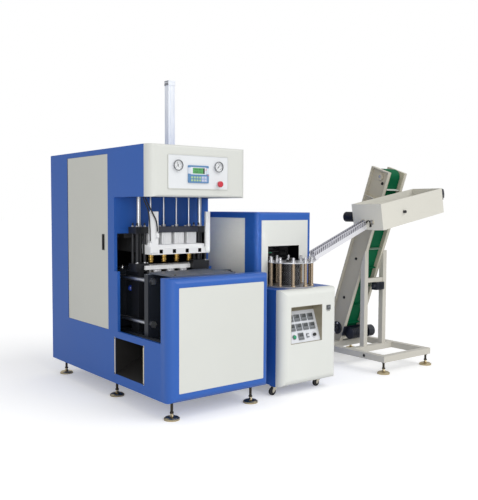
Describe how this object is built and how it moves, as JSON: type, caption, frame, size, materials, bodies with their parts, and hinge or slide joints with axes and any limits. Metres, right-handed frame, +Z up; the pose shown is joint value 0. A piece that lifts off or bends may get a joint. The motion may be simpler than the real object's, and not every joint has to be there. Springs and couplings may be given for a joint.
{
  "type": "blow moulding machine",
  "caption": "Stretch blow moulding line: overhead-column blow unit, preheater with carousel, chute and leaning preform elevator on a tube frame.",
  "frame": {"origin": "underside centre of the blow unit's front left levelling foot, on the floor", "axes": "+X to the right along the machine fronts, +Y to the back, +Z up"},
  "size_m": [2.393, 1.595, 1.966],
  "materials": {
    "paint_blue": "semi-gloss paint",
    "paint_cream": "semi-gloss paint",
    "steel_dark": "blackened",
    "steel_bright": "polished",
    "sheet_steel": "satin",
    "aluminium": "satin",
    "brass": "satin",
    "rubber_black": "matt",
    "belt_green": "matt",
    "plastic_dark": "satin",
    "plastic_red": "gloss",
    "plastic_green": "gloss",
    "glass_quartz": "gloss"
  },
  "bodies": {
    "frame": {"air_hoses": "rubber_black", "bottle_chute": "sheet_steel", "column_stands": "steel_bright", "control_fascia": "paint_cream", "control_recess": "paint_cream", "drive_motors": "steel_dark", "electrical_panel": "sheet_steel", "elevator_belt": "belt_green", "elevator_channels": "paint_cream", "fixed_platens": "steel_dark", "front_cover": "paint_blue", "front_mould": "aluminium", "front_panel": "paint_cream", "guide_columns": "steel_bright", "head_beam": "steel_dark", "heater_body": "paint_blue", "heater_cover": "paint_cream", "instrument_panel": "aluminium", "lamp_bank": "glass_quartz", "levelling_feet": "steel_bright", "loader_frame": "paint_cream", "lower_cabinet": "paint_blue", "machine_bed": "steel_dark", "operator_display": "plastic_dark", "oven_cabinet": "paint_blue", "oven_panel": "paint_cream", "post_frame": "paint_cream", "preform_chute": "sheet_steel", "preform_tray": "aluminium", "pressure_gauges": "steel_bright", "rear_cabinet": "paint_blue", "sorting_trough": "paint_cream", "stretch_cylinder": "aluminium", "tie_bars": "steel_bright", "trough_brackets": "paint_cream", "upper_housing": "paint_blue"},
    "side_door": {"side_door": "paint_cream"},
    "stretch_carriage": {"crosshead": "steel_dark", "stretch_rods": "steel_bright", "stretch_piston": "steel_bright"},
    "sealing_head": {"nozzle_plate": "aluminium", "blow_nozzles": "brass", "head_brackets": "aluminium"},
    "clamp_carriage": {"moving_platen": "steel_dark", "rear_mould": "aluminium"},
    "stop_button": {"stop_button": "plastic_red"},
    "start_button": {"start_button": "plastic_green"},
    "speed_knob": {"speed_knob": "plastic_dark"},
    "oven_door": {"oven_door": "paint_cream"},
    "carousel": {"carousel": "steel_bright", "spindles": "steel_bright"},
    "castor_left": {"castor_fork_left": "steel_bright"},
    "castor_right": {"castor_fork_right": "steel_bright"},
    "wheel_left": {"castor_wheel_left": "rubber_black"},
    "wheel_right": {"castor_wheel_right": "rubber_black"},
    "rear_wheels": {"rear_castor_wheels": "rubber_black"},
    "head_pulley": {"head_pulley": "steel_bright"},
    "tail_pulley": {"tail_pulley": "steel_bright"},
    "roller_front": {"roller_front": "steel_bright"},
    "roller_back": {"roller_back": "steel_bright"}
  },
  "joints": [
    {"name": "side_door_hinge", "type": "hinge", "parent": "frame", "child": "side_door", "pos_m": [-0.058, 1.18, 0.9695], "axis": [0, 0, 1], "range_deg": [-95, 0]},
    {"name": "stretch_slide", "type": "slide", "parent": "frame", "child": "stretch_carriage", "axis": [0, 0, -1], "range_m": [0, 0.23]},
    {"name": "sealing_slide", "type": "slide", "parent": "frame", "child": "sealing_head", "axis": [0, 0, -1], "range_m": [0, 0.012], "deforming": ["air_hoses"]},
    {"name": "clamp_slide", "type": "slide", "parent": "frame", "child": "clamp_carriage", "axis": [0, 1, 0], "range_m": [0, 0.11]},
    {"name": "stop_button_press", "type": "slide", "parent": "frame", "child": "stop_button", "axis": [0, 1, 0], "range_m": [0, 0.005], "stiffness_N_per_m": 800, "springref_m": -0.002},
    {"name": "start_button_press", "type": "slide", "parent": "frame", "child": "start_button", "axis": [0, 0.9393, -0.343], "range_m": [0, 0.003], "stiffness_N_per_m": 500, "springref_m": -0.001},
    {"name": "speed_knob_turn", "type": "hinge", "parent": "frame", "child": "speed_knob", "pos_m": [1.07, -0.03316, 0.36716], "axis": [0, -0.9393, 0.343], "range_deg": [-135, 135]},
    {"name": "oven_door_hinge", "type": "hinge", "parent": "frame", "child": "oven_door", "pos_m": [0.781, 0.949, 0.919], "axis": [0, 0, 1], "range_deg": [-11, 0]},
    {"name": "carousel_spin", "type": "hinge", "parent": "frame", "child": "carousel", "pos_m": [1.004, 0.121, 0.7], "axis": [0, 0, 1], "continuous": true},
    {"name": "castor_swivel_left", "type": "hinge", "parent": "frame", "child": "castor_left", "pos_m": [0.803, 0.042, 0.06], "axis": [0, 0, 1], "continuous": true},
    {"name": "castor_swivel_right", "type": "hinge", "parent": "frame", "child": "castor_right", "pos_m": [1.189, 0.042, 0.06], "axis": [0, 0, 1], "continuous": true},
    {"name": "wheel_roll_left", "type": "hinge", "parent": "castor_left", "child": "wheel_left", "pos_m": [0.781, 0.042, 0.025], "axis": [0, 1, 0], "continuous": true},
    {"name": "wheel_roll_right", "type": "hinge", "parent": "castor_right", "child": "wheel_right", "pos_m": [1.167, 0.042, 0.025], "axis": [0, 1, 0], "continuous": true},
    {"name": "rear_wheels_roll", "type": "hinge", "parent": "frame", "child": "rear_wheels", "pos_m": [1, 1.076, 0.025], "axis": [1, 0, 0], "continuous": true},
    {"name": "tail_pulley_spin", "type": "hinge", "parent": "frame", "child": "tail_pulley", "pos_m": [2.0475, 0.61273, 0.22914], "axis": [1, 0, 0], "continuous": true},
    {"name": "head_pulley_spin", "type": "hinge", "parent": "frame", "child": "head_pulley", "pos_m": [2.0475, 0.19255, 1.42232], "axis": [1, 0, 0], "continuous": true},
    {"name": "roller_front_spin", "type": "hinge", "parent": "frame", "child": "roller_front", "pos_m": [1.95098, -0.0405, 1.15024], "axis": [0.9842, 0, 0.1771], "continuous": true},
    {"name": "roller_back_spin", "type": "hinge", "parent": "frame", "child": "roller_back", "pos_m": [1.95098, 0.0375, 1.15024], "axis": [0.9842, 0, 0.1771], "continuous": true}
  ],
  "couplings": [
    {"joint": "head_pulley_spin", "follows": "tail_pulley_spin", "ratio": 1},
    {"joint": "roller_back_spin", "follows": "roller_front_spin", "ratio": -1}
  ]
}
